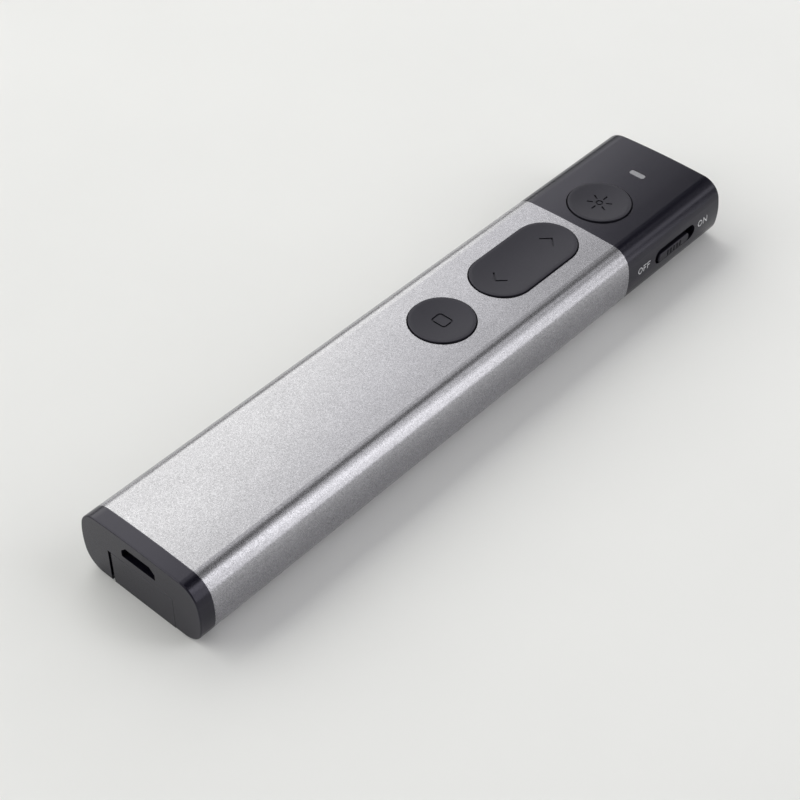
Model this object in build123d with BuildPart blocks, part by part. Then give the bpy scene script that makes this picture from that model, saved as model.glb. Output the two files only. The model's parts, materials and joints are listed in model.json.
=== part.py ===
from build123d import *
import math
import os

# Wireless presentation clicker: an extruded aluminium tube closed by a plastic nose and a plastic end cap,
# with three keys, a power slider, a laser, a charging socket and a USB receiver stored in its rear end.
# Millimetres. +Y points along the body to the laser, +Z up through the keys, +X to the power slider.
# The origin is at the centre of the underside.

# ---------------------------------------------------------------- driving dimensions
# Body: one cross-section runs from the end cap to the nose.
body_length = 140.0
body_width = 28.0
body_height = 13.1
side_radius = 16.2  # bulge of each side
widest_height = 6.4  # height at which the sides bulge furthest
top_corner_radius = 4.2
bottom_corner_radius = 4.15
crown_radius = 200.0  # shallow arch of the top
tube_wall = 1.2
nose_length = 29.6
nose_wall = 1.6
nose_front_wall = 1.8
nose_edge_radius = 0.4
end_cap_length = 3.1
end_cap_edge_radius = 0.25
tongue_length = 5.5  # of the nose's two tongues and the end cap's collar, inside the tube
tongue_thickness = 1.0
tongue_height = 4.0
slip_gap = 0.1  # between mouldings that slide into each other

# Keys. Their places are measured from the front end.
laser_key_from_front = 21.1
page_key_from_front = 44.1
screen_key_from_front = 67.1
key_hole_radius = 6.4
page_hole_length = 25.3
key_gap = 0.25  # between a key and its hole
key_proud = 0.25  # a key's rim above the top of the body
key_rim_radius = 0.12
key_depth = 1.5  # from the top of the body to a key's underside
key_dish_depth = 0.25
key_dish_margin = 0.6  # plain rim round the dish
key_travel = 0.4
page_key_drop = 0.48  # of the page key's end when it is tilted right down
key_clearance = 0.12  # left under a key that is pressed right down
stem_width = 5.0
stem_length = 3.6
stem_gap = 0.1
hook_reach = 0.5
hook_height = 0.5
nub_radius = 1.2
nub_height = 0.5
foot_spread = 8.0  # from the page key's pin to each of its feet
foot_size = 3.2
icon_depth = 0.22
icon_line = 0.32
screen_icon_width = 3.4
screen_icon_length = 2.75
screen_icon_radius = 0.7
arrow_tip = 8.3  # from the middle of the page key
arrow_length = 1.65
arrow_half_width = 1.68
ray_count = 6
ray_turn = 30  # degrees, from across the body to the first ray
ray_start = 1.25
ray_end = 2.45
ray_ring_radius = 0.75
dome_radius = 2.5
dome_height = 0.45
dome_sheet = 0.1
dome_gap = 0.05

# Page key's pin and its bearings
pin_radius = 0.75
pin_length = 13.0
pin_clearance = 0.05
pin_rib_width = 8.0
pin_rib_length = 3.0
pin_rib_wall = 0.6  # under the pin
saddle_clearance = 0.02
saddle_wall = 0.5
tilt_gap = 0.2  # round the rib and the feet of the page key

# Key frame, circuit board, chassis
frame_setback = 0.8  # key frame's edge inside the board's
frame_thickness = 0.8
frame_margin = 8.6  # frame beyond the centre of the first and last key
frame_corner_radius = 1.5
frame_skirt = 1.4
board_thickness = 0.8
board_side_gap = 0.55  # between the board's edge and the slider's flange
board_from_front = 6.6
board_corner_radius = 0.8
chassis_wall = 1.0
chassis_floor = 0.8
board_overhang = 0.6  # board's edge beyond the chassis's walls in the nose
chassis_from_front = 4.5
screw_from_edge = 2.2  # of the key frame
screw_radius = 0.8
screw_head_radius = 1.4
screw_head_height = 0.55
screw_socket_width = 0.8
screw_length = 6.0
screw_socket_depth = 0.35
screw_hole_gap = 0.1
thread_gap = 0.02
boss_radius = 1.9
stop_thickness = 1.0  # ribs in front of the battery
stop_length = 5.0
stop_height = 3.5
battery_room = 0.4  # to the ribs

# Battery
battery_side_room = 1.8  # battery's side inside the board's edge
battery_headroom = 0.6  # to the board
battery_tail_room = 1.0  # for the pouch's folded seal
battery_radius = 0.9
battery_pad_thickness = 0.3
battery_pad_margin = 1.5
lead_radius = 0.5
lead_spacing = 2.6
lead_reach = 3.0
lead_room = 1.3  # between the leads and the first screw bosses
lead_bend_radius = 1.2

# Power slider, on the nose's right side
slot_from_front = 14.7
lever_drop = 1.2  # of the slider's middle below the board
slot_length = 12.8
slot_width = 3.2
knob_length = 9.8
knob_width = 1.8
knob_corner_radius = 0.7
knob_drop = 0.45  # of the knob's middle below the slot's
knob_proud = 0.15
knob_groove_count = 5
knob_groove_pitch = 1.0
knob_groove_width = 0.36
knob_groove_length = 1.3
knob_groove_depth = 0.22
slider_travel = 1.0
flange_thickness = 0.9
flange_overlap = 1.1  # flange beyond the slot's edge
flange_gap = 0.15
knob_edge_radius = 0.25
lever_width = 1.4
lever_height = 1.2
lever_grip = 0.5  # depth of the lever's tip in the knob's flange
lever_gap = 0.05
switch_length = 8.6
switch_depth = 3.0
switch_height = 2.6
switch_gap = 0.15  # round the switch and its lever
switch_setback = 0.4  # of the switch from the slider's flange

# Laser
laser_headroom = 0.25  # between its barrel and the board
laser_length = 11.0
laser_wall = 0.45
laser_gap = 0.05
laser_front_gap = 0.2  # to the nose's front wall
laser_cradle_from_rear = 2.5  # of the barrel
laser_lip = 0.45  # barrel's front lip
laser_window_radius = 2.2
laser_window_thickness = 0.8
laser_lens_thickness = 1.4
laser_diode_rim = 0.4  # of the diode's flange round its can
laser_diode_length = 2.2
laser_diode_flange = 0.5
laser_pin_radius = 0.22
laser_pin_spacing = 1.6
laser_pin_reach = 2.4
cradle_thickness = 1.4
cradle_half_width = 4.2

# Status light
light_from_front = 8.9
light_width = 3.45
light_length = 1.4
light_corner_radius = 0.55
light_flange = 0.5
light_flange_thickness = 0.5
light_gap = 0.05
led_width = 1.6
led_length = 0.8
led_height = 0.6

# Charging socket
socket_width = 7.5
socket_height = 2.5
socket_chamfer = 0.9
socket_wall = 0.3
socket_length = 5.2
socket_recess = 1.6  # its mouth behind the end cap's face
socket_gap = 0.1
port_width = 7.8
port_height = 2.4
port_chamfer = 1.1
contact_plate_width = 3.8
contact_plate_thickness = 0.6
contact_plate_length = 3.6
contact_plate_rise = 0.35  # above the socket's middle

# Receiver, stored in the rear end
bay_width = 15.2
bay_roof = 0.6
bay_wall = 0.9
bay_length = 21.0
receiver_slit = 0.7  # finger-nail slit left of the receiver
receiver_gap = 0.05
receiver_cap_length = 6.4
receiver_edge_radius = 0.06
plug_width = 12.0
plug_height = 4.5
plug_length = 12.4
plug_seat = 3.0  # in the receiver's grip
plug_wall = 0.3
plug_corner_radius = 0.4
plug_window = 2.0
plug_window_spacing = 5.2
plug_window_from_tip = 5.2
tongue_board_thickness = 1.9
contact_width = 1.0
contact_places = (-3.5, -1.0, 1.0, 3.5)
contact_length = 7.0
contact_thickness = 0.15
contact_setback = 1.2  # from the tongue's tip

# Parts on the circuit board: across, along the board, height, and where they sit
controller_size = (5.0, 5.0, 0.9)
controller_behind_frame = 9.3
crystal_size = (3.2, 2.5, 0.7)
crystal_behind_controller = 8.0
charger_size = (3.0, 2.8, 1.1)
charger_from_rear = 15.0
antenna_size = (7.0, 2.0, 1.2)
antenna_from_edge = 1.5
antenna_behind_edge = 1.4

# ---------------------------------------------------------------- places worked out from them
rear_y = -body_length / 2
front_y = body_length / 2
cap_y = rear_y + end_cap_length  # joint of end cap and tube
joint_y = front_y - nose_length  # joint of tube and nose
tube_length = joint_y - cap_y
laser_key_y = front_y - laser_key_from_front
page_key_y = front_y - page_key_from_front
screen_key_y = front_y - screen_key_from_front
key_radius = key_hole_radius - key_gap
page_key_length = page_hole_length - 2 * key_gap
page_centre_reach = page_key_length / 2 - key_radius  # from the middle to the centre of each round end

key_top = body_height + key_proud
key_underside = body_height - key_depth
frame_top = key_underside - max(key_travel, page_key_drop) - key_clearance
frame_bottom = frame_top - frame_thickness
stem_bottom = frame_bottom - stem_gap - hook_height
nub_bottom = stem_bottom - nub_height
board_top = nub_bottom - dome_gap - dome_height
board_bottom = board_top - board_thickness
pin_height = frame_bottom + frame_thickness / 2
dish_reach = key_radius - key_dish_margin
dish_radius = (dish_reach**2 + key_dish_depth**2) / (2 * key_dish_depth)
dish_centre = key_top - key_dish_depth + dish_radius
frame_rear_y = screen_key_y - frame_margin
frame_front_y = laser_key_y + frame_margin
frame_length = frame_front_y - frame_rear_y
frame_y = (frame_front_y + frame_rear_y) / 2
saddle_x = pin_rib_width / 2 + tilt_gap  # inner face of each saddle

bay_top = board_bottom - bay_roof
bay_end_y = rear_y + bay_length
chassis_rear_y = bay_end_y + bay_wall + slip_gap
chassis_front_y = front_y - chassis_from_front
tongue_end_y = joint_y - tongue_length
chassis_step_y = tongue_end_y - slip_gap
tube_floor = tube_wall + slip_gap
nose_floor = nose_wall + slip_gap
tray_floor = nose_floor + chassis_floor
board_front_y = front_y - board_from_front
board_rear_y = cap_y + slip_gap

slot_y = front_y - slot_from_front
slot_height = board_bottom - lever_drop
knob_y = slot_y - slider_travel / 2  # at OFF; the slider moves forwards to ON
knob_height = slot_height - knob_drop
side_x = body_width / 2
flange_outer_x = side_x - nose_wall - flange_gap
flange_inner_x = flange_outer_x - flange_thickness
flange_length = slot_length + slider_travel + 2 * flange_overlap
flange_width = slot_width + 2 * flange_overlap
lever_tip_x = flange_inner_x + lever_grip
switch_x = flange_inner_x - switch_setback  # front of the switch's case
lever_root_x = switch_x - switch_depth / 2

board_half_width = flange_inner_x - board_side_gap
board_length = board_front_y - board_rear_y
board_y = (board_front_y + board_rear_y) / 2
chassis_nose_half_width = board_half_width - board_overhang
frame_half_width = board_half_width - frame_setback
screw_x = frame_half_width - screw_from_edge
screw_rows = (
    frame_rear_y + frame_skirt,
    (screen_key_y + page_key_y) / 2,
    joint_y - screw_head_radius - slip_gap,
)
screw_places = [(side * screw_x, row) for row in screw_rows for side in (-1, 1)]

battery_width = 2 * (board_half_width - battery_side_room)
battery_rear_y = chassis_rear_y + chassis_wall + battery_tail_room
battery_front_y = screw_rows[0] - boss_radius - lead_room - lead_radius - lead_reach
battery_length = battery_front_y - battery_rear_y
battery_y = (battery_rear_y + battery_front_y) / 2
battery_bottom = tube_floor + tongue_thickness + battery_pad_thickness
battery_thickness = board_bottom - battery_headroom - battery_bottom

laser_radius = (board_bottom - laser_headroom - laser_gap - tray_floor) / 2
laser_height = tray_floor + laser_gap + laser_radius
laser_bore_radius = laser_radius - laser_wall
laser_aperture_radius = laser_bore_radius - laser_lip
laser_diode_radius = laser_bore_radius - laser_gap - laser_diode_rim
laser_front_y = front_y - nose_front_wall - laser_front_gap
laser_rear_y = laser_front_y - laser_length
light_y = front_y - light_from_front
light_seat = body_height - nose_wall - light_gap  # top of the light's flange

socket_y = rear_y + socket_recess
socket_middle = board_top + socket_height / 2
receiver_left_x = -bay_width / 2 + receiver_slit
receiver_right_x = bay_width / 2 - receiver_gap
receiver_x = (receiver_left_x + receiver_right_x) / 2
receiver_width = receiver_right_x - receiver_left_x
receiver_top = bay_top - receiver_gap
receiver_floor = tube_wall + 1.5 * slip_gap
plug_height_middle = (receiver_floor + receiver_top) / 2
receiver_shoulder_y = cap_y - slip_gap
plug_rear_y = rear_y + receiver_cap_length
plug_tip_y = plug_rear_y + plug_length


# ---------------------------------------------------------------- helpers
def across(y):
    """Plane across the body at y. Its normal points to the rear, so an extrusion from it runs rearwards."""
    return Plane.XZ.offset(-y)


def level(height):
    """Horizontal plane at this height."""
    return Plane.XY.offset(height)


def beside(x):
    """Upright plane along the body at x, with +Y across it and +Z up it."""
    return Plane.YZ.offset(x)


def arc_about(centre, start, end):
    """The shorter arc from start to end about centre."""
    middle = centre + ((start + end) / 2 - centre).normalized() * (start - centre).length
    return ThreePointArc(start, middle, end)


def body_profile(inset):
    """Cross-section of the body moved inwards by inset. The arcs keep their centres, so walls are even."""
    side = Vector(body_width / 2 - side_radius, widest_height)
    from_side = side_radius - bottom_corner_radius
    across_side = math.sqrt(from_side**2 - (widest_height - bottom_corner_radius) ** 2)
    low = Vector(side.X + across_side, bottom_corner_radius)
    crown = Vector(0, body_height - crown_radius)
    # The upper corner's centre is a known distance from the side's centre and from the crown's.
    from_side = side_radius - top_corner_radius
    from_crown = crown_radius - top_corner_radius
    apart = (crown - side).length
    along = (from_side**2 - from_crown**2 + apart**2) / (2 * apart)
    off = math.sqrt(from_side**2 - along**2)
    toward = (crown - side).normalized()
    high = side + toward * along + Vector(-toward.Y, toward.X) * off
    bottom_end = Vector(low.X, inset)
    low_end = side + (low - side).normalized() * (side_radius - inset)
    high_end = side + (high - side).normalized() * (side_radius - inset)
    crown_end = crown + (high - crown).normalized() * (crown_radius - inset)
    with BuildSketch() as section:
        with BuildLine():
            Line(Vector(0, inset), bottom_end)
            arc_about(low, bottom_end, low_end)
            arc_about(side, low_end, high_end)
            arc_about(high, high_end, crown_end)
            arc_about(crown, crown_end, Vector(0, body_height - inset))
            mirror(about=Plane.YZ)
        make_face()
    return section.sketch


def port_profile(width, height, chamfer_size):
    """Outline of a charging port: square lower corners and chamfered upper ones. Its centre is the origin."""
    with BuildSketch() as port:
        Rectangle(width, height)
        chamfer(port.vertices().group_by(Axis.Y)[-1], chamfer_size)
    return port.sketch


outside_profile = body_profile(0)
tube_inside = body_profile(tube_wall)
nose_inside = body_profile(nose_wall)
collar_outside = body_profile(tube_wall + slip_gap)
collar_inside = body_profile(tube_wall + slip_gap + tongue_thickness)
tray_outside = body_profile(nose_wall + slip_gap)

# ---------------------------------------------------------------- shell
with BuildPart() as body_tube:
    with BuildSketch(across(joint_y)):
        add(outside_profile)
        add(tube_inside, mode=Mode.SUBTRACT)
    extrude(amount=tube_length)
    with BuildSketch(level(body_height)):
        with Locations((0, screen_key_y)):
            Circle(key_hole_radius)
        with Locations((0, page_key_y)):
            SlotOverall(page_hole_length, 2 * key_hole_radius, rotation=90)
    extrude(amount=-2 * tube_wall, mode=Mode.SUBTRACT)

with BuildPart() as nose_shell:
    with BuildSketch(across(front_y)):
        add(outside_profile)
    extrude(amount=nose_length)
    fillet(nose_shell.faces().sort_by(Axis.Y)[-1].edges(), nose_edge_radius)
    with BuildSketch(across(front_y - nose_front_wall)):
        add(nose_inside)
    extrude(amount=nose_length - nose_front_wall, mode=Mode.SUBTRACT)
    # two tongues that slide into the tube, rooted in the side walls
    with BuildSketch(across(joint_y + tongue_thickness)) as tongues:
        add(collar_outside)
        add(collar_inside, mode=Mode.SUBTRACT)
        with Locations((0, widest_height)):
            Rectangle(body_width, tongue_height, mode=Mode.INTERSECT)
    extrude(amount=tongue_length + tongue_thickness)
    # laser key, status light
    with BuildSketch(level(body_height)):
        with Locations((0, laser_key_y)):
            Circle(key_hole_radius)
        with Locations((0, light_y)):
            RectangleRounded(light_width, light_length, light_corner_radius)
    extrude(amount=-2 * nose_wall, mode=Mode.SUBTRACT)
    # power slider's slot
    with BuildSketch(beside(side_x)):
        with Locations((slot_y, slot_height)):
            SlotOverall(slot_length, slot_width)
    extrude(amount=-2 * nose_wall, mode=Mode.SUBTRACT)
    # laser aperture, with a seat for its window inside
    with BuildSketch(across(front_y)):
        with Locations((0, laser_height)):
            Circle(laser_aperture_radius)
    extrude(amount=nose_front_wall, mode=Mode.SUBTRACT)
    with BuildSketch(across(front_y - nose_front_wall + laser_window_thickness)):
        with Locations((0, laser_height)):
            Circle(laser_window_radius)
    extrude(amount=laser_window_thickness, mode=Mode.SUBTRACT)

with BuildPart() as end_cap:
    with BuildSketch(across(cap_y)):
        add(outside_profile)
    extrude(amount=end_cap_length)
    fillet(end_cap.faces().sort_by(Axis.Y)[0].edges(), end_cap_edge_radius)
    # collar inside the tube
    with BuildSketch(across(cap_y + tongue_length)):
        add(collar_outside)
        add(collar_inside, mode=Mode.SUBTRACT)
    extrude(amount=tongue_length)
    # walls, roof and end of the receiver's bay
    with BuildSketch(across(bay_end_y + bay_wall)):
        with Locations((0, tube_floor)):
            Rectangle(bay_width + 2 * bay_wall, board_bottom - tube_floor, align=(Align.CENTER, Align.MIN))
    extrude(amount=bay_end_y + bay_wall - cap_y)
    with BuildSketch(across(bay_end_y)):
        Rectangle(bay_width, bay_top, align=(Align.CENTER, Align.MIN))
    extrude(amount=bay_length, mode=Mode.SUBTRACT)
    # charging port, and behind it a pocket for the socket
    with BuildSketch(across(cap_y)):
        with Locations((0, socket_middle)):
            add(port_profile(port_width, port_height, port_chamfer))
    extrude(amount=end_cap_length, mode=Mode.SUBTRACT)
    with BuildSketch(across(cap_y + tongue_length)):
        with Locations((0, socket_middle)):
            Rectangle(socket_width + 2 * socket_gap, socket_height + 2 * socket_gap)
    extrude(amount=cap_y + tongue_length - socket_y, mode=Mode.SUBTRACT)

# ---------------------------------------------------------------- chassis, board and key frame
with BuildPart() as chassis:
    # wide tray, in the tube
    with BuildSketch(across(chassis_step_y)):
        add(collar_outside)
        add(collar_inside, mode=Mode.SUBTRACT)
        Rectangle(body_width, board_bottom, align=(Align.CENTER, Align.MIN), mode=Mode.INTERSECT)
    extrude(amount=chassis_step_y - chassis_rear_y)
    # its rear wall
    with BuildSketch(across(chassis_rear_y + chassis_wall)):
        add(collar_outside)
        Rectangle(body_width, board_bottom, align=(Align.CENTER, Align.MIN), mode=Mode.INTERSECT)
    extrude(amount=chassis_wall)
    # narrow tray, in the nose
    with BuildSketch(across(chassis_front_y)):
        add(tray_outside)
        Rectangle(
            2 * chassis_nose_half_width, board_bottom, align=(Align.CENTER, Align.MIN), mode=Mode.INTERSECT
        )
        with Locations((0, tray_floor)):
            Rectangle(
                2 * (chassis_nose_half_width - chassis_wall),
                board_bottom,
                align=(Align.CENTER, Align.MIN),
                mode=Mode.SUBTRACT,
            )
    extrude(amount=chassis_front_y - chassis_step_y + chassis_wall)
    # screw bosses
    with BuildSketch(level(nose_floor)):
        with Locations(*screw_places):
            Circle(boss_radius)
    extrude(amount=board_bottom - nose_floor)
    with BuildSketch(level(board_bottom)):
        with Locations(*screw_places):
            Circle(screw_radius + thread_gap)
    extrude(amount=frame_top - screw_length - 2 * slip_gap - board_bottom, mode=Mode.SUBTRACT)
    # ribs that keep the battery from sliding forwards, with a way between them for its leads
    with BuildSketch(level(tube_floor)):
        with Locations((0, battery_front_y + battery_room + stop_thickness / 2)):
            with GridLocations(battery_width - stop_length, 0, 2, 1):
                Rectangle(stop_length, stop_thickness)
    extrude(amount=stop_height)
    # cradles for the laser
    with BuildSketch(level(nose_floor)):
        with Locations((0, laser_rear_y + laser_cradle_from_rear), (0, chassis_front_y - cradle_thickness)):
            Rectangle(2 * cradle_half_width, cradle_thickness)
    extrude(amount=laser_height - nose_floor)
    with BuildSketch(across(front_y)):
        with Locations((0, laser_height)):
            Circle(laser_radius + laser_gap)
    extrude(amount=front_y - laser_rear_y + laser_radius, mode=Mode.SUBTRACT)
    # notch for the slide switch
    with BuildSketch(level(board_bottom)):
        with Locations((switch_x + switch_gap, slot_y)):
            Rectangle(
                switch_depth + 2 * switch_gap, switch_length + 2 * switch_gap, align=(Align.MAX, Align.CENTER)
            )
    extrude(amount=-switch_height - switch_gap, mode=Mode.SUBTRACT)

with BuildPart() as main_board:
    with BuildSketch(level(board_bottom)):
        with Locations((0, board_y)):
            RectangleRounded(2 * board_half_width, board_length, board_corner_radius)
        with Locations(*screw_places):
            Circle(screw_radius + screw_hole_gap, mode=Mode.SUBTRACT)
    extrude(amount=board_thickness)

with BuildPart() as key_frame:
    # plate, skirt and screw pillars
    with BuildSketch(level(frame_bottom)):
        with Locations((0, frame_y)):
            RectangleRounded(2 * frame_half_width, frame_length, frame_corner_radius)
    extrude(amount=frame_thickness)
    with BuildSketch(level(board_top)):
        with Locations((0, frame_y)):
            RectangleRounded(2 * frame_half_width, frame_length, frame_corner_radius)
            Rectangle(
                2 * (frame_half_width - frame_skirt), frame_length - 2 * frame_skirt, mode=Mode.SUBTRACT
            )
        with Locations(*screw_places):
            Circle(boss_radius)
        # nothing of them stands outside the plate
        with Locations((0, frame_y)):
            RectangleRounded(2 * frame_half_width, frame_length, frame_corner_radius, mode=Mode.INTERSECT)
    extrude(amount=frame_bottom - board_top)
    with BuildSketch(level(frame_top)):
        with Locations(*screw_places):
            Circle(screw_radius + screw_hole_gap)
    extrude(amount=board_top - frame_top, mode=Mode.SUBTRACT)
    # saddles for the page key's pin, open at the top so that it snaps in
    saddle_length = pin_length / 2 + slip_gap + saddle_wall - saddle_x
    with BuildSketch(level(frame_top)):
        with Locations((0, page_key_y)):
            with GridLocations(2 * saddle_x + saddle_length, 0, 2, 1):
                Rectangle(saddle_length, 2 * (pin_radius + saddle_wall + saddle_clearance))
    extrude(amount=pin_height - pin_radius - saddle_wall - frame_top)
    with BuildSketch(beside(-pin_length / 2 - slip_gap)):
        with Locations((page_key_y, pin_height)):
            Circle(pin_radius + saddle_clearance)
    extrude(amount=pin_length + 2 * slip_gap, mode=Mode.SUBTRACT)
    # guide holes
    with BuildSketch(level(frame_top)):
        with Locations((0, laser_key_y), (0, screen_key_y)):
            Rectangle(stem_width + 2 * stem_gap, stem_length + 2 * stem_gap)
        with Locations((0, page_key_y)):
            Rectangle(pin_rib_width + 2 * tilt_gap, pin_rib_length + 2 * tilt_gap)
        with Locations((0, page_key_y - foot_spread), (0, page_key_y + foot_spread)):
            Rectangle(foot_size + 2 * tilt_gap, foot_size + 2 * tilt_gap)
    extrude(amount=-frame_thickness, mode=Mode.SUBTRACT)

with BuildPart() as frame_screws:
    with BuildSketch(level(frame_top)):
        with Locations(*screw_places):
            Circle(screw_head_radius)
    extrude(amount=screw_head_height)
    with BuildSketch(level(frame_top + screw_head_height)):
        with Locations(*screw_places):
            RegularPolygon(screw_socket_width, 6)
    extrude(amount=-screw_socket_depth, mode=Mode.SUBTRACT)
    with BuildSketch(level(frame_top)):
        with Locations(*screw_places):
            Circle(screw_radius)
    extrude(amount=-screw_length)


# ---------------------------------------------------------------- keys
def dished_blank(y, reach):
    """Top of a key centred at y: a slot of the key's radius, its round ends centred reach either side of y.
    The dish keeps an even rim: a cylinder along the key, ended by spheres."""
    with BuildPart() as blank:
        with BuildSketch(level(key_underside)):
            with Locations((0, y - reach), (0, y + reach)):
                Circle(key_radius)
            if reach > 0:
                with Locations((0, y)):
                    Rectangle(2 * key_radius, 2 * reach)
        extrude(amount=key_top - key_underside)
        fillet(blank.faces().sort_by(Axis.Z)[-1].edges(), key_rim_radius)
        with Locations((0, y - reach, dish_centre), (0, y + reach, dish_centre)):
            Sphere(dish_radius, mode=Mode.SUBTRACT)
        if reach > 0:
            with Locations((0, y, dish_centre)):
                Cylinder(dish_radius, 2 * reach, rotation=(90, 0, 0), mode=Mode.SUBTRACT)
    return blank.part


def round_key(y):
    """Round key at y, without its icon: blank, guide stem, hooks that keep it in the key frame, and nub."""
    with BuildPart() as key:
        add(dished_blank(y, 0))
        with BuildSketch(level(stem_bottom)):
            with Locations((0, y)):
                Rectangle(stem_width, stem_length)
        extrude(amount=key_underside - stem_bottom)
        with BuildSketch(level(stem_bottom)):
            with Locations((0, y)):
                Rectangle(stem_width + 2 * hook_reach, stem_length)
        extrude(amount=hook_height)
        with BuildSketch(level(nub_bottom)):
            with Locations((0, y)):
                Circle(nub_radius)
        extrude(amount=stem_bottom - nub_bottom)
    return key.part


with BuildPart() as laser_key:
    add(round_key(laser_key_y))
    # icon: a spot with rays
    with BuildSketch(level(key_top)):
        with Locations((0, laser_key_y)):
            with PolarLocations((ray_start + ray_end) / 2, ray_count, start_angle=ray_turn):
                Rectangle(ray_end - ray_start, icon_line)
            Circle(ray_ring_radius)
            Circle(ray_ring_radius - icon_line, mode=Mode.SUBTRACT)
    extrude(amount=-key_dish_depth - icon_depth, mode=Mode.SUBTRACT)

with BuildPart() as screen_key:
    add(round_key(screen_key_y))
    # icon: outline of a screen
    with BuildSketch(level(key_top)):
        with Locations((0, screen_key_y)):
            RectangleRounded(screen_icon_width, screen_icon_length, screen_icon_radius)
            RectangleRounded(
                screen_icon_width - 2 * icon_line,
                screen_icon_length - 2 * icon_line,
                screen_icon_radius - icon_line,
                mode=Mode.SUBTRACT,
            )
    extrude(amount=-key_dish_depth - icon_depth, mode=Mode.SUBTRACT)

with BuildPart() as page_key:
    add(dished_blank(page_key_y, page_centre_reach))
    # rib on the pin
    with BuildSketch(level(key_underside)):
        with Locations((0, page_key_y)):
            Rectangle(pin_rib_width, pin_rib_length)
    extrude(amount=pin_height - pin_radius - pin_clearance - pin_rib_wall - key_underside)
    with BuildSketch(beside(-pin_rib_width / 2)):
        with Locations((page_key_y, pin_height)):
            Circle(pin_radius + pin_clearance)
    extrude(amount=pin_rib_width, mode=Mode.SUBTRACT)
    # a foot over each dome
    for foot_y in (page_key_y - foot_spread, page_key_y + foot_spread):
        with BuildSketch(level(stem_bottom)):
            with Locations((0, foot_y)):
                Rectangle(foot_size, foot_size)
        extrude(amount=key_underside - stem_bottom)
        with BuildSketch(level(nub_bottom)):
            with Locations((0, foot_y)):
                Circle(nub_radius)
        extrude(amount=stem_bottom - nub_bottom)
    # icons: an arrow head towards each end
    for end in (-1, 1):
        with BuildSketch(level(key_top)):
            with BuildLine():
                arrow_y = page_key_y + end * (arrow_tip - arrow_length)
                tip_y = page_key_y + end * arrow_tip
                Polyline((-arrow_half_width, arrow_y), (0, tip_y), (arrow_half_width, arrow_y))
            trace(line_width=icon_line)
        extrude(amount=-key_dish_depth - icon_depth, mode=Mode.SUBTRACT)

with BuildPart() as page_key_pin:
    with BuildSketch(beside(-pin_length / 2)):
        with Locations((page_key_y, pin_height)):
            Circle(pin_radius)
    extrude(amount=pin_length)


def snap_dome(y):
    """Thin metal dome on the board at y."""
    sphere = (dome_radius**2 + dome_height**2) / (2 * dome_height)
    centre = Vector(0, dome_height - sphere)
    inner_reach = math.sqrt((sphere - dome_sheet) ** 2 - centre.Y**2)
    with BuildPart() as dome:
        with BuildSketch(Plane(origin=(0, y, board_top), x_dir=(1, 0, 0), z_dir=(0, -1, 0))):
            with BuildLine():
                arc_about(centre, Vector(dome_radius, 0), Vector(0, dome_height))
                Line((0, dome_height), (0, dome_height - dome_sheet))
                arc_about(centre, Vector(0, dome_height - dome_sheet), Vector(inner_reach, 0))
                Line((inner_reach, 0), (dome_radius, 0))
            make_face()
        revolve(axis=Axis((0, y, board_top), (0, 0, 1)))
    return dome


laser_dome = snap_dome(laser_key_y)
screen_dome = snap_dome(screen_key_y)
next_dome = snap_dome(page_key_y + foot_spread)
back_dome = snap_dome(page_key_y - foot_spread)

# ---------------------------------------------------------------- power slider and its switch
with BuildPart() as power_slider:
    # flange, curved like the nose's wall
    with BuildSketch(across(knob_y + flange_length / 2)):
        add(body_profile(nose_wall + flange_gap))
        add(body_profile(nose_wall + flange_gap + flange_thickness), mode=Mode.SUBTRACT)
        with Locations((side_x, slot_height)):
            Rectangle(side_x, flange_width, mode=Mode.INTERSECT)
    extrude(amount=flange_length)
    # knob
    with BuildSketch(beside(side_x + knob_proud)):
        with Locations((knob_y, knob_height)):
            RectangleRounded(knob_length, knob_width, knob_corner_radius)
    extrude(amount=flange_inner_x + flange_thickness / 2 - side_x - knob_proud)
    fillet(power_slider.faces().sort_by(Axis.X)[-1].edges(), knob_edge_radius)
    with BuildSketch(beside(side_x + knob_proud)):
        with Locations((knob_y, knob_height)):
            with GridLocations(knob_groove_pitch, 0, knob_groove_count, 1):
                Rectangle(knob_groove_width, knob_groove_length)
    extrude(amount=-knob_groove_depth, mode=Mode.SUBTRACT)
    # notch for the switch's lever
    with BuildSketch(beside(0)):
        with Locations((knob_y, slot_height)):
            Rectangle(lever_width + 2 * lever_gap, lever_height + 2 * lever_gap)
    extrude(amount=lever_tip_x + lever_gap, mode=Mode.SUBTRACT)

with BuildPart() as switch_lever:
    with BuildSketch(beside(lever_root_x)):
        with Locations((knob_y, slot_height)):
            Rectangle(lever_width, lever_height)
    extrude(amount=lever_tip_x - lever_root_x)

with BuildPart() as slide_switch:
    with BuildSketch(level(board_bottom)):
        with Locations((switch_x, slot_y)):
            Rectangle(switch_depth, switch_length, align=(Align.MAX, Align.CENTER))
    extrude(amount=-switch_height)
    with BuildSketch(beside(switch_x)):
        with Locations((slot_y, slot_height)):
            Rectangle(lever_width + slider_travel + 2 * switch_gap, lever_height + 2 * lever_gap)
    extrude(amount=lever_root_x - switch_gap - switch_x, mode=Mode.SUBTRACT)

# ---------------------------------------------------------------- battery
with BuildPart() as battery:
    with BuildSketch(level(battery_bottom)):
        with Locations((0, battery_y)):
            Rectangle(battery_width, battery_length)
    extrude(amount=battery_thickness)
    fillet(battery.edges().filter_by(Axis.Y), battery_radius)

with BuildPart() as battery_pad:
    with BuildSketch(level(battery_bottom - battery_pad_thickness)):
        with Locations((0, battery_y)):
            Rectangle(battery_width - 2 * battery_pad_margin, battery_length - 2 * battery_pad_margin)
    extrude(amount=battery_pad_thickness)


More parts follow.
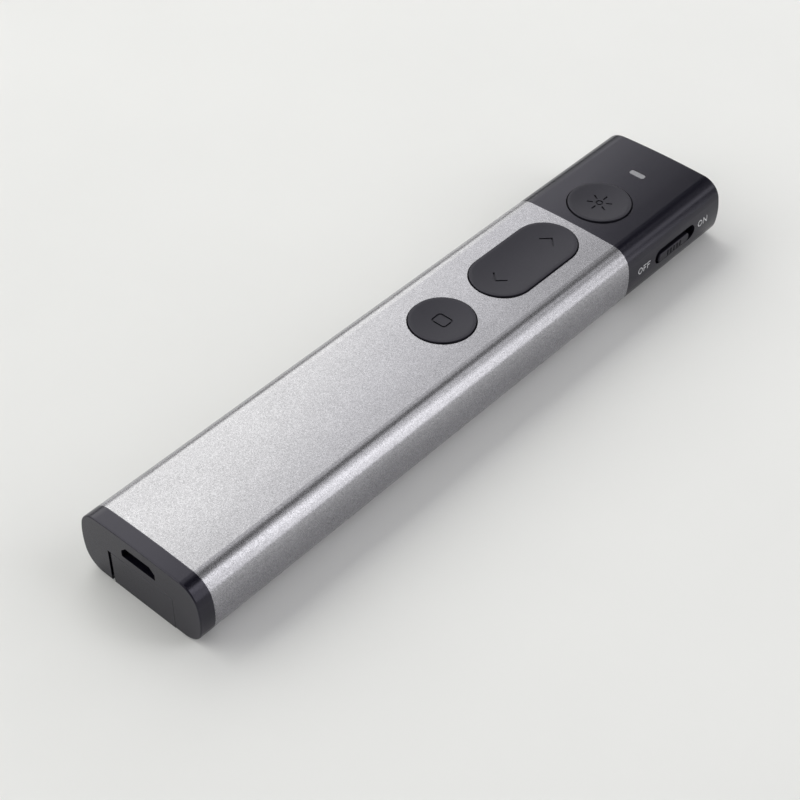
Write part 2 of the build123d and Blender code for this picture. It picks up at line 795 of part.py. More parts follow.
def bent_leads(places, start_y, height, reach, bend_radius, radius):
    """Round wires at the given x places that run reach along the body from start_y, then up to the board."""
    with BuildPart() as leads:
        for x in places:
            with BuildLine(beside(x)) as path:
                FilletPolyline(
                    (start_y, height),
                    (start_y + reach, height),
                    (start_y + reach, board_bottom),
                    radius=bend_radius,
                )
            with BuildSketch(across(start_y)):
                with Locations((x, height)):
                    Circle(radius)
            sweep(path=path.line)
    return leads


battery_leads = bent_leads(
    (-lead_spacing / 2, lead_spacing / 2),
    battery_front_y,
    battery_bottom + battery_thickness / 2,
    lead_reach,
    lead_bend_radius,
    lead_radius,
)

# ---------------------------------------------------------------- laser and status light
with BuildPart() as laser_barrel:
    with BuildSketch(across(laser_front_y)):
        with Locations((0, laser_height)):
            Circle(laser_radius)
    extrude(amount=laser_length)
    with BuildSketch(across(laser_front_y)):
        with Locations((0, laser_height)):
            Circle(laser_aperture_radius)
    extrude(amount=laser_wall, mode=Mode.SUBTRACT)
    with BuildSketch(across(laser_front_y - laser_wall)):
        with Locations((0, laser_height)):
            Circle(laser_bore_radius)
    extrude(amount=laser_length - laser_wall, mode=Mode.SUBTRACT)

with BuildPart() as laser_lens:
    with BuildSketch(across(laser_front_y - laser_wall)):
        with Locations((0, laser_height)):
            Circle(laser_bore_radius - laser_gap)
    extrude(amount=laser_lens_thickness)
    fillet(laser_lens.edges().sort_by(Axis.Y)[0], laser_lens_thickness / 2)

with BuildPart() as laser_diode:
    with BuildSketch(across(laser_rear_y + laser_diode_flange)):
        with Locations((0, laser_height)):
            Circle(laser_bore_radius - laser_gap)
    extrude(amount=laser_diode_flange)
    with BuildSketch(across(laser_rear_y + laser_diode_flange + laser_diode_length)):
        with Locations((0, laser_height)):
            Circle(laser_diode_radius)
    extrude(amount=laser_diode_length)

laser_leads = bent_leads(
    (-laser_pin_spacing / 2, 0, laser_pin_spacing / 2),
    laser_rear_y,
    laser_height,
    -laser_pin_reach,
    2 * laser_pin_radius,
    laser_pin_radius,
)

with BuildPart() as laser_window:
    with BuildSketch(across(front_y - nose_front_wall + laser_window_thickness)):
        with Locations((0, laser_height)):
            Circle(laser_window_radius - laser_gap)
    extrude(amount=laser_window_thickness)

with BuildPart() as status_light:
    with BuildSketch(level(light_seat)):
        with Locations((0, light_y)):
            RectangleRounded(
                light_width - 2 * light_gap, light_length - 2 * light_gap, light_corner_radius - light_gap
            )
    extrude(amount=body_height - light_gap - light_seat)
    with BuildSketch(level(light_seat)):
        with Locations((0, light_y)):
            Rectangle(light_width + 2 * light_flange, light_length + 2 * light_flange)
    extrude(amount=-light_flange_thickness)
    with BuildSketch(level(light_seat)):
        with Locations((0, light_y)):
            Rectangle(led_width, led_length)
    extrude(amount=board_top + led_height + 2 * light_gap - light_seat)

# ---------------------------------------------------------------- charging socket
with BuildPart() as charging_socket:
    with BuildSketch(across(socket_y + socket_length)):
        with Locations((0, socket_middle)):
            add(port_profile(socket_width, socket_height, socket_chamfer))
    extrude(amount=socket_length)
    with BuildSketch(across(socket_y + socket_length - socket_wall)):
        with Locations((0, socket_middle)):
            add(
                port_profile(
                    socket_width - 2 * socket_wall,
                    socket_height - 2 * socket_wall,
                    socket_chamfer - socket_wall / 2,
                )
            )
    extrude(amount=socket_length - socket_wall, mode=Mode.SUBTRACT)

with BuildPart() as socket_contacts:
    with BuildSketch(across(socket_y + socket_length - socket_wall)):
        with Locations((0, socket_middle + contact_plate_rise)):
            Rectangle(contact_plate_width, contact_plate_thickness)
    extrude(amount=contact_plate_length)


# ---------------------------------------------------------------- parts on the board
def on_board(size, x, y):
    """Block of this size on top of the board, centred at x, y."""
    with BuildPart() as block:
        with BuildSketch(level(board_top)):
            with Locations((x, y)):
                Rectangle(size[0], size[1])
        extrude(amount=size[2])
    return block


controller_y = frame_rear_y - controller_behind_frame
antenna_x = -board_half_width + antenna_from_edge + antenna_size[0] / 2
controller_chip = on_board(controller_size, 0, controller_y)
crystal = on_board(crystal_size, 0, controller_y - crystal_behind_controller)
charger_chip = on_board(charger_size, 0, rear_y + charger_from_rear)
antenna = on_board(antenna_size, antenna_x, board_front_y - antenna_behind_edge)
status_led = on_board((led_width, led_length, led_height), 0, light_y)

# ---------------------------------------------------------------- receiver
with BuildPart() as receiver_cap:
    with BuildSketch(across(plug_rear_y)):
        with Locations((receiver_x, receiver_floor)):
            Rectangle(receiver_width, receiver_top - receiver_floor, align=(Align.CENTER, Align.MIN))
    extrude(amount=receiver_cap_length)
    # its end is as deep as the end cap
    with BuildSketch(across(receiver_shoulder_y)):
        with Locations((receiver_x, 0)):
            Rectangle(receiver_width, receiver_top, align=(Align.CENTER, Align.MIN))
    extrude(amount=receiver_shoulder_y - rear_y)
    fillet(receiver_cap.faces().sort_by(Axis.Y)[0].edges(), receiver_edge_radius)
    # seat of the plug
    with BuildSketch(across(plug_rear_y)):
        with Locations((receiver_x, plug_height_middle)):
            Rectangle(plug_width + 2 * receiver_gap, plug_height + 2 * receiver_gap)
    extrude(amount=plug_seat, mode=Mode.SUBTRACT)

with BuildPart() as receiver_plug:
    with BuildSketch(across(plug_tip_y)):
        with Locations((receiver_x, plug_height_middle)):
            RectangleRounded(plug_width, plug_height, plug_corner_radius)
            Rectangle(plug_width - 2 * plug_wall, plug_height - 2 * plug_wall, mode=Mode.SUBTRACT)
    extrude(amount=plug_length + plug_seat)
    # latch windows through both broad faces
    with BuildSketch(level(plug_height_middle + plug_height)):
        with Locations((receiver_x, plug_tip_y - plug_window_from_tip)):
            with GridLocations(plug_window_spacing, 0, 2, 1):
                Rectangle(plug_window, plug_window)
    extrude(amount=-2 * plug_height, mode=Mode.SUBTRACT)

tongue_middle = plug_height_middle - plug_height / 2 + plug_wall + receiver_gap + tongue_board_thickness / 2
tongue_tip_y = plug_tip_y - 2 * plug_wall

with BuildPart() as receiver_tongue:
    with BuildSketch(across(tongue_tip_y)):
        with Locations((receiver_x, tongue_middle)):
            Rectangle(plug_width - 2 * plug_wall - 2 * receiver_gap, tongue_board_thickness)
    extrude(amount=tongue_tip_y - plug_rear_y + plug_seat)

with BuildPart() as receiver_contacts:
    with BuildSketch(level(tongue_middle + tongue_board_thickness / 2)):
        for place in contact_places:
            with Locations((receiver_x + place, tongue_tip_y - contact_setback)):
                Rectangle(contact_width, contact_length, align=(Align.CENTER, Align.MAX))
    extrude(amount=contact_thickness)

# ---------------------------------------------------------------- files
pieces = {
    "body_tube": body_tube,
    "nose_shell": nose_shell,
    "end_cap": end_cap,
    "chassis": chassis,
    "main_board": main_board,
    "key_frame": key_frame,
    "frame_screws": frame_screws,
    "laser_key": laser_key,
    "screen_key": screen_key,
    "page_key": page_key,
    "page_key_pin": page_key_pin,
    "laser_dome": laser_dome,
    "screen_dome": screen_dome,
    "next_dome": next_dome,
    "back_dome": back_dome,
    "power_slider": power_slider,
    "switch_lever": switch_lever,
    "slide_switch": slide_switch,
    "battery": battery,
    "battery_pad": battery_pad,
    "battery_leads": battery_leads,
    "laser_barrel": laser_barrel,
    "laser_lens": laser_lens,
    "laser_diode": laser_diode,
    "laser_leads": laser_leads,
    "laser_window": laser_window,
    "status_light": status_light,
    "status_led": status_led,
    "charging_socket": charging_socket,
    "socket_contacts": socket_contacts,
    "controller_chip": controller_chip,
    "crystal": crystal,
    "charger_chip": charger_chip,
    "antenna": antenna,
    "receiver_cap": receiver_cap,
    "receiver_plug": receiver_plug,
    "receiver_tongue": receiver_tongue,
    "receiver_contacts": receiver_contacts,
}
os.makedirs("parts", exist_ok=True)
for name, piece in pieces.items():
    piece.part.label = name
    export_step(piece.part, f"parts/{name}.step")
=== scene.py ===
import bmesh
import bpy
import json
import math
from mathutils import Matrix, Vector


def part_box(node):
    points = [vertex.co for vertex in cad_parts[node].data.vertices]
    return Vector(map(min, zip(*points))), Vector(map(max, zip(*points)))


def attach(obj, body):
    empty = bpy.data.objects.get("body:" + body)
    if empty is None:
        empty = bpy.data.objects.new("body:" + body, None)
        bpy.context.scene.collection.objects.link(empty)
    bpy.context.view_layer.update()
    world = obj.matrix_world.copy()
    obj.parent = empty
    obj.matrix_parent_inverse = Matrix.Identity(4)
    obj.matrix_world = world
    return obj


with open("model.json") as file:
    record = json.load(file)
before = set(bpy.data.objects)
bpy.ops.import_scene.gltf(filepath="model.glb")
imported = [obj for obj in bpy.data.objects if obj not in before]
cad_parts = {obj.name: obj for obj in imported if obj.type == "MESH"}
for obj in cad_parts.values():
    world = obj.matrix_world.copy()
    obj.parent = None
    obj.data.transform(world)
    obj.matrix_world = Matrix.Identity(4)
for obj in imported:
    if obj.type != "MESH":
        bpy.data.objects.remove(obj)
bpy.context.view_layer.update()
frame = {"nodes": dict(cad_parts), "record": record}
MM = 0.001
MICROMETRE = 0.001 * MM
scene = bpy.context.scene

# ---------------------------------------------------------------- camera
CAMERA_PLACE = Vector((154.53, -179.87, 223.08)) * MM
CAMERA_AZIMUTH, CAMERA_ELEVATION, CAMERA_ROLL = 42.007, 43.825, -0.023
CAMERA_LENS, CAMERA_FRAME = 80.385, 36  # mm
CAMERA_RANGE = (0.01, 20)

camera_data = bpy.data.cameras.new("camera")
camera_data.sensor_width = CAMERA_FRAME
camera_data.lens = CAMERA_LENS
camera_data.clip_start, camera_data.clip_end = CAMERA_RANGE
camera = bpy.data.objects.new("camera", camera_data)
scene.collection.objects.link(camera)
azimuth, elevation = math.radians(CAMERA_AZIMUTH), math.radians(CAMERA_ELEVATION)
level = math.cos(elevation)
back = Vector((math.sin(azimuth) * level, -math.cos(azimuth) * level, math.sin(elevation)))
roll = Matrix.Rotation(math.radians(CAMERA_ROLL), 3, "Z")
turn = (-back).to_track_quat("-Z", "Y").to_matrix() @ roll
camera.matrix_world = Matrix.Translation(CAMERA_PLACE) @ turn.to_4x4()
scene.camera = camera

# ---------------------------------------------------------------- stage
LEFT, RIGHT, BACK, FRONT = 180, 0, 90, 270  # bearings, degrees from +X towards +Y
SIDE_WALL, END_WALL, CEILING = 0.80, 1.10, 1.6  # where the lamps hang, m from the object's middle
LAMP_GAP = 0.01  # m, from a lamp to one that hangs before it
WARM = (0.995, 1.0, 0.95)
HORIZON, HORIZON_LEVEL = 0.02, 0.6  # height on the unit sphere up to which the world is pale
SKY, SKY_LEVEL = 0.10, 0.04  # height from which it is dark
FLOOR_GAP = 0.00002  # m, keeps the floor's face off the object's underside

scene.view_settings.view_transform = "Standard"


def area_lamp(name, wide, tall, radiance, place):
    """Rectangular lamp of this size, facing along the -Z of its placing matrix."""
    data = bpy.data.lights.new(name, "AREA")
    data.shape = "RECTANGLE"
    data.size, data.size_y = wide, tall
    data.energy = radiance * math.pi * wide * tall
    lamp = bpy.data.objects.new(name, data)
    scene.collection.objects.link(lamp)
    lamp.matrix_world = place
    return data


def softbox(name, bearing, distance, near, far, low, high, radiance):
    """Upright lamp at this bearing and distance, facing the object.

    near and far are its ends along its own width, low and high its edges above the floor.
    """
    out = Vector((math.cos(math.radians(bearing)), math.sin(math.radians(bearing)), 0))
    side = Vector((0, 0, 1)).cross(out)
    turn = Matrix((side, Vector((0, 0, 1)), out)).transposed()
    middle = out * distance + side * (near + far) / 2 + Vector((0, 0, (low + high) / 2))
    place = Matrix.Translation(middle) @ turn.to_4x4()
    return area_lamp(name, far - near, high - low, radiance, place)


def overhead(name, x_range, y_range, radiance):
    """Lamp that hangs level under the ceiling and faces down."""
    (left, right), (near, far) = x_range, y_range
    place = Matrix.Translation(((left + right) / 2, (near + far) / 2, CEILING))
    area_lamp(name, right - left, far - near, radiance, place)


main_lamp = softbox("left_main", LEFT, SIDE_WALL, -0.75, 1.80, 0.25, 1.55, 2.48)
main_lamp.color = WARM
softbox("left_foot", LEFT, SIDE_WALL, -0.30, 1.80, 0.05, 0.25, 0.6)
softbox("left_far", LEFT, SIDE_WALL, -1.60, -0.75, 0.25, 1.55, 0.8)
softbox("left_far_upper", LEFT, SIDE_WALL - LAMP_GAP, -1.15, -0.75, 0.50, 1.55, 0.85)
softbox("right_main", RIGHT, SIDE_WALL, 0.35, 0.77, 0.50, 1.70, 3.35)
softbox("right_foot", RIGHT, SIDE_WALL, 0.35, 0.77, 0.05, 0.50, 2.55)
softbox("right_near", RIGHT, SIDE_WALL, -0.10, 0.35, 0.05, 0.50, 1.7)
softbox("right_far", RIGHT, SIDE_WALL, 0.77, 1.20, 0.50, 1.70, 1.25)
softbox("back_fill", BACK, END_WALL, -0.80, 0.80, 0.08, 0.58, 1.2)
softbox("back_upper", BACK, END_WALL, -0.80, 0.00, 0.58, 0.85, 1.0)
softbox("front_fill", FRONT, END_WALL, -0.80, 0.80, 0.15, 0.90, 1.1)
overhead("top_middle", (-0.3, 0.3), (-0.45, 0.2), 1.4)
overhead("top_left", (-0.8, -0.3), (0.2, 1.4), 1.15)
overhead("top_right", (0.3, 0.8), (0.8, 1.4), 1.55)

world = bpy.data.worlds.new("world")
world.use_nodes = True
tree = world.node_tree
sky = tree.nodes.new("ShaderNodeTexCoord")
split = tree.nodes.new("ShaderNodeSeparateXYZ")
ramp = tree.nodes.new("ShaderNodeValToRGB")
tree.links.new(sky.outputs["Generated"], split.inputs[0])
tree.links.new(split.outputs["Z"], ramp.inputs[0])
tree.links.new(ramp.outputs[0], tree.nodes["Background"].inputs["Color"])
stops = ((HORIZON, HORIZON_LEVEL), (SKY, SKY_LEVEL))
for element, (height, grey) in zip(ramp.color_ramp.elements, stops):
    element.position = height
    element.color = (grey, grey, grey, 1)
scene.world = world

floor_mesh = bpy.data.meshes.new("floor")
floor_corners = [(x * SIDE_WALL, y * END_WALL, 0) for x, y in ((-1, -1), (1, -1), (1, 1), (-1, 1))]
floor_mesh.from_pydata(floor_corners, [], [(0, 1, 2, 3)])
floor = bpy.data.objects.new("floor", floor_mesh)
scene.collection.objects.link(floor)
floor.location.z = -FLOOR_GAP


# ---------------------------------------------------------------- finishes
WAVE_PERIOD = 0.314  # of the wave texture at scale 1


class Finish:
    """A procedural material: the shader's constants, and the nodes that feed its other sockets."""

    def __init__(self, name, **constants):
        self.material = bpy.data.materials.new(name)
        self.material.use_nodes = True
        self.tree = self.material.node_tree
        self.shader = self.tree.nodes["Principled BSDF"]
        for socket, value in constants.items():
            self.shader.inputs[socket.replace("_", " ")].default_value = value
        self.place = self.tree.nodes.new("ShaderNodeTexCoord").outputs["Object"]

    def link(self, output, target):
        self.tree.links.new(output, target)
        return target

    def stretched(self, stretch):
        """The place, squeezed so that a pattern comes out longer along each axis by this factor."""
        if stretch == (1, 1, 1):
            return self.place
        mapping = self.tree.nodes.new("ShaderNodeMapping")
        mapping.inputs["Scale"].default_value = [1 / factor for factor in stretch]
        self.link(self.place, mapping.inputs["Vector"])
        return mapping.outputs["Vector"]

    def noise(self, size, detail=2.0, stretch=(1, 1, 1)):
        """Cloudy values from 0 to 1, their features this many millimetres across."""
        node = self.tree.nodes.new("ShaderNodeTexNoise")
        node.inputs["Scale"].default_value = 1 / (size * MM)
        node.inputs["Detail"].default_value = detail
        self.link(self.stretched(stretch), node.inputs["Vector"])
        return node.outputs["Fac"]

    def cells(self, size, output="Distance", feature="F1"):
        """Cells this many millimetres across: distance to their middle, or a random colour."""
        node = self.tree.nodes.new("ShaderNodeTexVoronoi")
        node.feature = feature
        node.inputs["Scale"].default_value = 1 / (size * MM)
        self.link(self.place, node.inputs["Vector"])
        return node.outputs[output]

    def bands(self, size, distortion):
        """Lines across the Y axis, this many millimetres apart."""
        node = self.tree.nodes.new("ShaderNodeTexWave")
        node.bands_direction = "Y"
        node.inputs["Scale"].default_value = WAVE_PERIOD / (size * MM)
        node.inputs["Distortion"].default_value = distortion
        self.link(self.place, node.inputs["Vector"])
        return node.outputs["Fac"]

    def ramp(self, value, *stops):
        """Colour or grey by value. A stop is (value, colour), a colour one number or three."""
        node = self.tree.nodes.new("ShaderNodeValToRGB")
        elements = node.color_ramp.elements
        while len(elements) < len(stops):
            elements.new(0.5)
        for element, (value_at, colour) in zip(elements, stops):
            rgb = colour if isinstance(colour, tuple) else (colour,) * 3
            element.position = value_at
            element.color = (*rgb, 1)
        self.link(value, node.inputs["Fac"])
        return node.outputs["Color"]

    def join(self, first, second, how="MULTIPLY", share=1.0):
        """Two colours joined; share is a number or an output."""
        node = self.tree.nodes.new("ShaderNodeMix")
        node.data_type = "RGBA"
        node.blend_type = how
        if isinstance(share, float):
            node.inputs["Factor"].default_value = share
        else:
            self.link(share, node.inputs["Factor"])
        sockets = {socket.identifier: socket for socket in (*node.inputs, *node.outputs)}
        self.link(first, sockets["A_Color"])
        self.link(second, sockets["B_Color"])
        return sockets["Result_Color"]

    def bump(self, height, depth):
        """Relief this many micrometres deep, over any relief set before."""
        node = self.tree.nodes.new("ShaderNodeBump")
        node.inputs["Distance"].default_value = depth * MICROMETRE
        self.link(height, node.inputs["Height"])
        under = self.shader.inputs["Normal"].links
        if under:
            self.link(under[0].from_socket, node.inputs["Normal"])
        self.link(node.outputs["Normal"], self.shader.inputs["Normal"])

    def colour(self, output):
        self.link(output, self.shader.inputs["Base Color"])

    def roughness(self, output):
        self.link(output, self.shader.inputs["Roughness"])


def anodised_aluminium():
    """Bead-blasted and clear anodised: fine grain painted brighter and duller in colour, as painted
    glints of each grain facing its own way.
    """
    f = Finish("anodised_aluminium", Metallic=0.80)
    # painted glints: each grain's colour is made brighter or duller for the way it faces the light
    painted_glints = f.ramp(f.cells(0.12, "Color"), (0.15, 0.79), (0.5, 0.985), (0.85, 1.24))
    clouds = f.ramp(f.noise(9.0, 3), (0.3, 0.97), (0.7, 1.03))
    tone = f.ramp(f.noise(0.30, 3), (0.25, (0.302, 0.298, 0.318)), (0.75, (0.386, 0.381, 0.406)))
    f.colour(f.join(f.join(tone, painted_glints), clouds))
    f.roughness(f.ramp(f.noise(0.22, 2), (0.3, 0.22), (0.7, 0.30)))
    f.bump(f.noise(0.16, 2), 2.2)
    return f.material


SHEEN = (0.86, 0.83, 1.0, 1.0)  # faint violet, in the gloss of all the plastics


def moulded(name, low, high, rough, grain=0.12, depth=1.2, clouds=6.0, ior=1.43):
    """Moulded plastic: spark-eroded grain, with a slow drift of its tone and gloss."""
    f = Finish(name, IOR=ior, Specular_Tint=SHEEN)
    drift = f.ramp(f.noise(clouds, 3), (0.3, low), (0.7, high))
    specks = f.ramp(f.noise(grain * 1.6, 2), (0.3, 0.88), (0.7, 1.12))
    f.colour(f.join(drift, specks))
    f.roughness(f.ramp(f.noise(grain * 3, 3), (0.3, rough - 0.03), (0.7, rough + 0.03)))
    f.bump(f.noise(grain, 2), depth)
    return f.material


def solder_mask():
    """Green solder mask over a copper layer: traces, ground fill and plated holes."""
    f = Finish("circuit_board")
    traces = f.ramp(f.cells(1.9, feature="DISTANCE_TO_EDGE"), (0.035, 1.0), (0.06, 0.0))
    base = f.ramp(f.noise(4.0, 3), (0.3, (0.006, 0.050, 0.018)), (0.7, (0.008, 0.062, 0.024)))
    copper_low, copper_high = (0.016, 0.125, 0.040), (0.020, 0.145, 0.048)
    over_copper = f.ramp(f.noise(0.4, 2), (0.3, copper_low), (0.7, copper_high))
    mask = f.join(base, over_copper, "MIX", traces)
    rings = f.ramp(f.cells(2.6), (0.10, 1.0), (0.13, 0.0))
    gold = f.ramp(f.noise(0.2, 2), (0.3, (0.58, 0.43, 0.17)), (0.7, (0.66, 0.50, 0.22)))
    f.colour(f.join(mask, gold, "MIX", rings))
    f.roughness(f.ramp(f.noise(0.5, 2), (0.3, 0.24), (0.7, 0.34)))
    f.bump(traces, 25)
    f.bump(f.noise(0.15, 2), 2)
    return f.material


def worked_metal(name, low, high, rough, size=0.08, stretch=(1, 1, 1), depth=1.5):
    """Bare or plated metal: fine lines along the way it was drawn, rolled or ground."""
    f = Finish(name, Metallic=1.0)
    lines = f.ramp(f.noise(size, 3, stretch), (0.3, low), (0.7, high))
    stain = f.ramp(f.noise(2.5, 3), (0.3, 0.93), (0.7, 1.05))
    f.colour(f.join(lines, stain))
    f.roughness(f.ramp(f.noise(size * 1.5, 3, stretch), (0.3, rough - 0.05), (0.7, rough + 0.06)))
    f.bump(f.noise(size, 2, stretch), depth)
    return f.material


def foil_pouch():
    """Aluminium laminate drawn over a cell: dull, with shallow creases and a cloudy sheen."""
    f = Finish("battery_pouch", Metallic=0.9)
    f.colour(f.ramp(f.noise(3.0, 4), (0.3, (0.50, 0.50, 0.52)), (0.7, (0.62, 0.62, 0.64))))
    f.roughness(f.ramp(f.noise(1.2, 3), (0.3, 0.30), (0.7, 0.46)))
    f.bump(f.cells(3.2, feature="DISTANCE_TO_EDGE"), 60)
    f.bump(f.noise(0.7, 3), 14)
    return f.material


def closed_cell_foam():
    """Black foam: round pits in its face, each painted darker in its middle as painted shade."""
    f = Finish("foam")
    # painted shade: the colour darkens towards the middle of each pore, where shade falls in the
    # hollow
    painted_pore_shade = f.ramp(f.cells(0.45), (0.25, 0.55), (0.6, 1.1))
    f.colour(f.join(f.ramp(f.noise(1.5, 3), (0.3, 0.040), (0.7, 0.055)), painted_pore_shade))
    f.roughness(f.ramp(f.noise(0.4, 2), (0.3, 0.82), (0.7, 0.95)))
    f.bump(f.cells(0.45), 90)
    return f.material


def silicone_leads(middle):
    """Lead insulation, red on the lead past this X and black on the other, with a faint bloom."""
    f = Finish("lead_insulation")
    red = f.ramp(f.noise(0.5, 3), (0.3, (0.30, 0.014, 0.012)), (0.7, (0.40, 0.022, 0.018)))
    black = f.ramp(f.noise(0.5, 3), (0.3, 0.010), (0.7, 0.016))
    split = f.tree.nodes.new("ShaderNodeSeparateXYZ")
    f.link(f.place, split.inputs[0])
    side = f.tree.nodes.new("ShaderNodeMath")
    side.operation = "GREATER_THAN"
    side.inputs[1].default_value = middle
    f.link(split.outputs["X"], side.inputs[0])
    f.colour(f.join(black, red, "MIX", side.outputs[0]))
    f.roughness(f.ramp(f.noise(0.2, 2), (0.3, 0.42), (0.7, 0.54)))
    f.bump(f.noise(0.12, 2), 2)
    return f.material


def turned_brass():
    """Brass turned on a lathe: fine tool rings along its axis."""
    f = Finish("laser_brass", Metallic=1.0)
    rings = f.ramp(f.bands(0.14, 0.6), (0.0, 0.90), (1.0, 1.06))
    tone = f.ramp(f.noise(1.5, 3), (0.3, (0.60, 0.43, 0.19)), (0.7, (0.70, 0.53, 0.26)))
    f.colour(f.join(tone, rings))
    f.roughness(f.ramp(f.noise(0.6, 3), (0.3, 0.24), (0.7, 0.36)))
    f.bump(f.bands(0.14, 0.6), 4)
    return f.material


def clear_acrylic():
    """Polished lens and window: clear, with a trace of smoke and faint polishing haze."""
    f = Finish("clear_lens", Transmission_Weight=0.9, IOR=1.49)
    f.colour(f.ramp(f.noise(1.0, 2), (0.3, (0.70, 0.72, 0.74)), (0.7, (0.78, 0.80, 0.82))))
    f.roughness(f.ramp(f.noise(0.3, 2), (0.3, 0.03), (0.7, 0.08)))
    return f.material


def frosted_light_pipe():
    """Frosted polycarbonate, unlit: its grey colour is painted shade, standing for the dark inside
    showing through.
    """
    f = Finish("light_pipe", Transmission_Weight=0.25, IOR=1.58)
    # painted shade: base colour greyed to stand for the dark inside seen through the pipe
    f.colour(f.ramp(f.noise(0.35, 3), (0.3, (0.27, 0.27, 0.295)), (0.7, (0.36, 0.36, 0.39))))
    f.roughness(f.ramp(f.noise(0.12, 2), (0.3, 0.30), (0.7, 0.42)))
    f.bump(f.noise(0.10, 2), 2)
    return f.material


leads_near, leads_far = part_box("battery_leads")
FINISHES = {
    "anodised_aluminium": anodised_aluminium(),
    "black_plastic": moulded(
        "black_plastic", (0.0046, 0.0042, 0.0084), (0.0058, 0.0054, 0.0100), 0.22
    ),
    "key_plastic": moulded(
        "key_plastic", (0.0080, 0.0077, 0.0114), (0.0096, 0.0093, 0.0132), 0.42, 0.09, 0.8, ior=1.41
    ),
    "slider_plastic": moulded(
        "slider_plastic", (0.0066, 0.0062, 0.0096), (0.0084, 0.0080, 0.0114), 0.36, 0.10, 1.0
    ),
    "receiver_plastic": moulded(
        "receiver_plastic", (0.0048, 0.0044, 0.0084), (0.0060, 0.0056, 0.0100), 0.24
    ),
    "inner_plastic": moulded(
        "inner_plastic", (0.040, 0.040, 0.041), (0.055, 0.055, 0.056), 0.48, 0.20, 3, 4.0
    ),
    "circuit_board": solder_mask(),
    "screw_steel": worked_metal(
        "screw_steel", (0.48, 0.49, 0.52), (0.60, 0.61, 0.64), 0.32, 0.10
    ),
    "pin_steel": worked_metal(
        "pin_steel", (0.50, 0.50, 0.50), (0.62, 0.62, 0.61), 0.22, 0.06, (1, 6, 6), 1
    ),
    "spring_steel": worked_metal(
        "spring_steel", (0.52, 0.52, 0.50), (0.64, 0.63, 0.61), 0.26, 0.05, (1, 14, 1), 1
    ),
    "plated_steel": worked_metal(
        "plated_steel", (0.50, 0.49, 0.46), (0.62, 0.61, 0.58), 0.27, 0.07, (1, 9, 1), 1.2
    ),
    "battery_pouch": foil_pouch(),
    "foam": closed_cell_foam(),
    "lead_insulation": silicone_leads((leads_near[0] + leads_far[0]) / 2),
    "laser_brass": turned_brass(),
    "clear_lens": clear_acrylic(),
    "light_pipe": frosted_light_pipe(),
    "led_plastic": moulded("led_plastic", (0.62, 0.58, 0.38), (0.72, 0.68, 0.46), 0.28, 0.15, 1.0),
    "socket_plastic": moulded(
        "socket_plastic", (0.012, 0.012, 0.012), (0.018, 0.018, 0.018), 0.45, 0.15, 2.0
    ),
    "gold_plating": worked_metal(
        "gold_plating", (0.72, 0.50, 0.20), (0.84, 0.62, 0.28), 0.24, 0.06, (1, 8, 1), 1
    ),
    "chip_epoxy": moulded(
        "chip_epoxy", (0.016, 0.016, 0.016), (0.026, 0.026, 0.026), 0.55, 0.06, 3.0, 1.5
    ),
    "ceramic": moulded("ceramic", (0.60, 0.58, 0.52), (0.72, 0.70, 0.64), 0.50, 0.10, 2.0, 2.0),
}
for part in frame["record"]["subparts"]:
    mesh = frame["nodes"][part["node"]].data
    mesh.materials.clear()
    mesh.materials.append(FINISHES[part["material_slot"]])

floor_finish = Finish("floor")
floor_finish.colour(floor_finish.ramp(floor_finish.noise(60, 4), (0.3, 0.77), (0.7, 0.79)))
floor_finish.roughness(floor_finish.ramp(floor_finish.noise(20, 2), (0.3, 0.85), (0.7, 0.95)))
floor_mesh.materials.append(floor_finish.material)

# ---------------------------------------------------------------- switch legends
SIDE_CENTRE, SIDE_RADIUS = (-2.2, 6.4), 16.2  # x and z of the side's arc, mm
CAP_HEIGHT, STROKE, INK = 1.42, 0.15, 0.03  # mm
O_STEPS = 48
F_BAR_HEIGHT, F_BAR_REACH = 0.46, 0.88  # of the letter's height and of its width
N_SLANT = 0.19  # of the letter's height
STRIPS = 8  # across each letter's height, so that it follows the side's arc
WELD = 0.002  # mm


def letter_o(width):
    """Ring of four-sided faces between two ellipses."""
    rings = []
    for inset in (0, STROKE):
        across, up = width / 2 - inset, CAP_HEIGHT / 2 - inset
        turns = [2 * math.pi * i / O_STEPS for i in range(O_STEPS)]
        rings.append(
            [(width / 2 + across * math.cos(a), CAP_HEIGHT / 2 + up * math.sin(a)) for a in turns]
        )
    outer, inner = rings
    after = [(i + 1) % O_STEPS for i in range(O_STEPS)]
    return [[outer[i], outer[k], inner[k], inner[i]] for i, k in enumerate(after)]


def letter_f(width):
    """Stem and two bars, as faces that share their corners."""
    h, s, middle, reach = CAP_HEIGHT, STROKE, CAP_HEIGHT * F_BAR_HEIGHT, width * F_BAR_REACH
    stem = [(0, 0), (s, 0), (s, middle), (s, middle + s), (s, h - s), (s, h), (0, h)]
    top_bar = [(s, h - s), (width, h - s), (width, h), (s, h)]
    middle_bar = [(s, middle), (reach, middle), (reach, middle + s), (s, middle + s)]
    return [stem, top_bar, middle_bar]


def letter_n(width):
    """Two stems and the diagonal, as faces that share their corners."""
    h, s, slant = CAP_HEIGHT, STROKE, CAP_HEIGHT * N_SLANT
    left_stem = [(0, 0), (s, 0), (s, h - slant), (s, h), (0, h)]
    right_stem = [(width - s, 0), (width, 0), (width, h), (width - s, h), (width - s, slant)]
    diagonal = [(s, h - slant), (width - s, 0), (width - s, slant), (s, h)]
    return [left_stem, right_stem, diagonal]


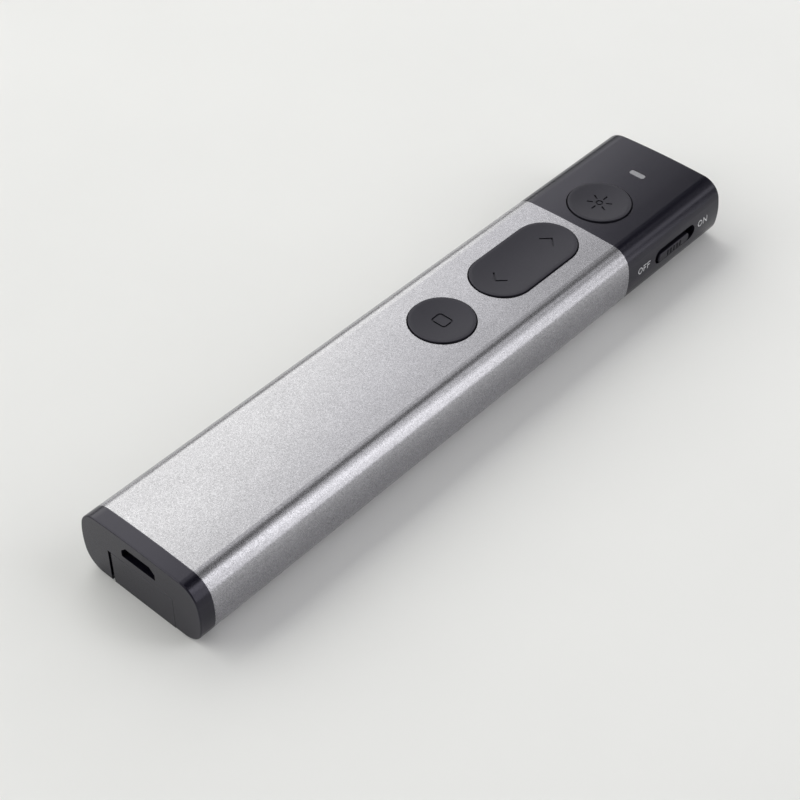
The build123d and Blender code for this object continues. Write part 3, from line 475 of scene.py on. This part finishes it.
def legend(name, start, foot, letters):
    """Letters printed on the switch's side of the nose: start along Y and foot along Z, mm."""
    mesh = bmesh.new()
    place = start
    for outline, width, gap in letters:
        for loop in outline(width):
            mesh.faces.new([mesh.verts.new((0, place + across, foot + up)) for across, up in loop])
        place += width + gap
    bmesh.ops.remove_doubles(mesh, verts=mesh.verts, dist=WELD)
    for step in range(1, STRIPS):
        cut = (0, 0, foot + CAP_HEIGHT * step / STRIPS)
        everything = [*mesh.verts, *mesh.edges, *mesh.faces]
        bmesh.ops.bisect_plane(mesh, geom=everything, dist=WELD, plane_co=cut, plane_no=(0, 0, 1))
    extruded = bmesh.ops.extrude_face_region(mesh, geom=list(mesh.faces), use_keep_orig=True)
    raised = {item for item in extruded["geom"] if isinstance(item, bmesh.types.BMVert)}
    for vert in mesh.verts:
        reach = SIDE_RADIUS + (INK if vert in raised else -INK / 3)
        above_centre = vert.co.z - SIDE_CENTRE[1]
        vert.co.x = SIDE_CENTRE[0] + math.sqrt(reach**2 - above_centre**2)
    bmesh.ops.recalc_face_normals(mesh, faces=mesh.faces)
    bmesh.ops.scale(mesh, vec=(MM, MM, MM), verts=mesh.verts)
    data = bpy.data.meshes.new(name)
    mesh.to_mesh(data)
    mesh.free()
    piece = bpy.data.objects.new(name, data)
    scene.collection.objects.link(piece)
    data.materials.append(ink)
    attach(piece, "casing")


print_finish = Finish("print")
ink_low, ink_high = (0.56, 0.56, 0.58), (0.72, 0.72, 0.74)
print_finish.colour(print_finish.ramp(print_finish.noise(0.25, 3), (0.3, ink_low), (0.7, ink_high)))
print_finish.roughness(print_finish.ramp(print_finish.noise(0.15, 2), (0.3, 0.45), (0.7, 0.60)))
ink = print_finish.material
# each letter: its outline, its width and the gap behind it, mm
letters_off = [(letter_o, 1.32, 0.34), (letter_f, 0.88, 0.32), (letter_f, 0.88, 0)]
legend("legend_off", 43.45, 6.15, letters_off)
legend("legend_on", 62.85, 6.22, [(letter_o, 1.38, 0.36), (letter_n, 1.28, 0)])
